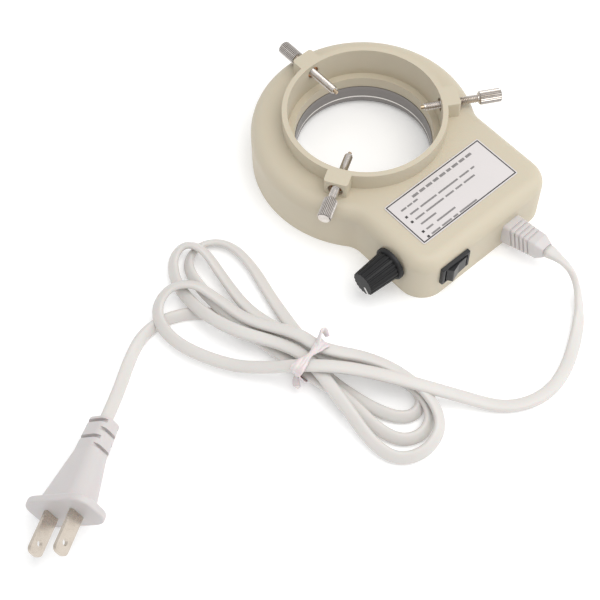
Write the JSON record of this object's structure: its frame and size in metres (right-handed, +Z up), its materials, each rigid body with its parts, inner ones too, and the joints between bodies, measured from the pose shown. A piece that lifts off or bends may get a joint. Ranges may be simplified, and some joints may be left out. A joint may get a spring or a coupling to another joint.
{
  "type": "microscope ring light",
  "caption": "Ring lamp that clamps round a microscope's objective barrel with thumbscrews, with a dimmer knob, a power rocker and a mains lead in a tied hank.",
  "frame": {"origin": "on the ring's axis, in the plane of the lower rim that the light rests on", "axes": "+Z up along the ring's axis, -Y from the ring towards the controller tail, +X towards the side of the tail where the mains lead leaves"},
  "size_m": [0.2639, 0.1853, 0.0311],
  "materials": {
    "blade_nickel": "nickel over brass",
    "board_green": "green solder mask",
    "board_white": "white solder mask",
    "capacitor_sleeve": "shrink sleeve",
    "component_black": "moulded epoxy",
    "contact_brass": "bright",
    "cord_sheath": "PVC",
    "fuse_glass": "clear tube with nickel caps",
    "housing_shell": "satin cream ABS",
    "insert_brass": "turned",
    "knob_black": "satin moulded",
    "label_white": "printed film",
    "led_clear": "clear moulded",
    "liner_metal": "fine turned",
    "nose_brass": "turned",
    "plug_moulding": "soft PVC",
    "pointer_white": "painted",
    "potentiometer_case": "plated",
    "relief_moulding": "soft PVC",
    "rocker_black": "semi gloss",
    "screw_nickel": "nickel plated",
    "screw_steel": "zinc plated",
    "shaft_metal": "turned",
    "switch_black": "moulded",
    "tie_plastic": "thin film over wire",
    "transformer_wrap": "yellow tape and dark core",
    "window_clear": "clear",
    "wire_insulation": "PVC"
  },
  "bodies": {
    "housing": {"base_cover": "housing_shell", "base_screws": "screw_steel", "board_screws": "screw_steel", "bore_liner": "liner_metal", "capacitors": "capacitor_sleeve", "collar_inserts": "insert_brass", "cord_device_lead": "cord_sheath", "cord_hank": "cord_sheath", "cord_plug_lead": "cord_sheath", "dimmer_nut": "screw_nickel", "dimmer_potentiometer": "potentiometer_case", "dimmer_washer": "screw_steel", "dimmer_wires": "wire_insulation", "driver_board": "board_green", "driver_chip": "component_black", "fuse": "fuse_glass", "label_plate": "label_white", "lead_tail": "cord_sheath", "led_board": "board_white", "led_wires": "wire_insulation", "leds": "led_clear", "mains_plug": "plug_moulding", "mains_wires": "wire_insulation", "plug_blades": "blade_nickel", "rectifier": "component_black", "strain_relief": "relief_moulding", "switch_body": "switch_black", "switch_terminals": "contact_brass", "transformer": "transformer_wrap", "twist_tie": "tie_plastic", "upper_housing": "housing_shell", "window_ring": "window_clear"},
    "knob": {"dimmer_shaft": "shaft_metal", "dimmer_knob": "knob_black", "knob_pointer": "pointer_white"},
    "rocker": {"switch_rocker": "rocker_black"},
    "nose_back": {"screw_nose_back": "nose_brass"},
    "screw_back": {"clamp_screw_back": "screw_nickel"},
    "nose_left": {"screw_nose_left": "nose_brass"},
    "screw_left": {"clamp_screw_left": "screw_nickel"},
    "nose_right": {"screw_nose_right": "nose_brass"},
    "screw_right": {"clamp_screw_right": "screw_nickel"}
  },
  "joints": [
    {"name": "dimmer_turn", "type": "hinge", "parent": "housing", "child": "knob", "pos_m": [-0.0345, -0.0543, 0.0142], "axis": [1, 0, 0], "range_deg": [-290, 10]},
    {"name": "power_rock", "type": "hinge", "parent": "housing", "child": "rocker", "pos_m": [-0.0175, -0.0703, 0.0134], "axis": [0, 0, 1], "range_deg": [-21, 0]},
    {"name": "back_screw_feed", "type": "slide", "parent": "housing", "child": "nose_back", "axis": [0, -1, 0], "range_m": [-0.0146, 0.0019]},
    {"name": "back_screw_turn", "type": "hinge", "parent": "nose_back", "child": "screw_back", "pos_m": [0, 0, 0.0262], "axis": [0, -1, 0], "range_deg": [-7510, 980]},
    {"name": "left_screw_feed", "type": "slide", "parent": "housing", "child": "nose_left", "axis": [0.866, 0.5, 0], "range_m": [-0.0118, 0.0047]},
    {"name": "left_screw_turn", "type": "hinge", "parent": "nose_left", "child": "screw_left", "pos_m": [0, 0, 0.0262], "axis": [0.866, 0.5, 0], "range_deg": [-6070, 2420]},
    {"name": "right_screw_feed", "type": "slide", "parent": "housing", "child": "nose_right", "axis": [-0.866, 0.5, 0], "range_m": [-0.0078, 0.0087]},
    {"name": "right_screw_turn", "type": "hinge", "parent": "nose_right", "child": "screw_right", "pos_m": [0, 0, 0.0262], "axis": [-0.866, 0.5, 0], "range_deg": [-4015, 4480]}
  ],
  "couplings": [
    {"joint": "back_screw_turn", "follows": "back_screw_feed", "rad_per_m": 8976},
    {"joint": "left_screw_turn", "follows": "left_screw_feed", "rad_per_m": 8976},
    {"joint": "right_screw_turn", "follows": "right_screw_feed", "rad_per_m": 8976}
  ]
}
